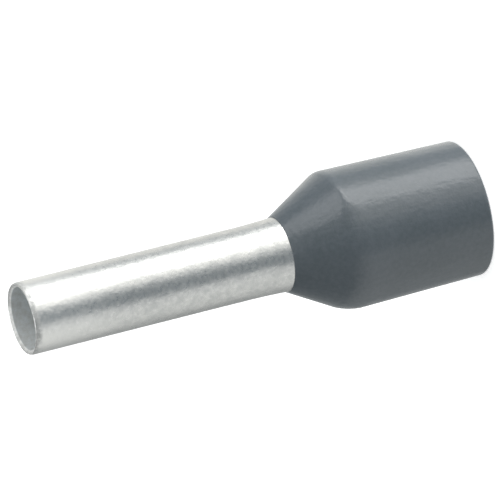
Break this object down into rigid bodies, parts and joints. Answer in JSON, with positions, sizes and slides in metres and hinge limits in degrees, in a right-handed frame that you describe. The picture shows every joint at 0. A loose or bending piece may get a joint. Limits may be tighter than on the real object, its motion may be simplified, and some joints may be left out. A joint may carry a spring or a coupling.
{
  "type": "wire ferrule",
  "caption": "Insulated wire ferrule: a thin tinned copper tube, belled inside a grey plastic collar that tapers down to it and is open behind for the insulated wire.",
  "frame": {"origin": "centre of the collar's open mouth, in the plane of its rim, on which the ferrule stands", "axes": "+Z along the common axis of both pieces, from the collar's mouth up to the sleeve's tip; X and Y are free, because both pieces are turned forms"},
  "size_m": [0.0062, 0.0062, 0.0211],
  "materials": {
    "tinned_copper": "satin",
    "grey_polypropylene": "satin"
  },
  "bodies": {
    "root": {"contact_sleeve": "tinned_copper", "insulating_collar": "grey_polypropylene"}
  },
  "joints": []
}
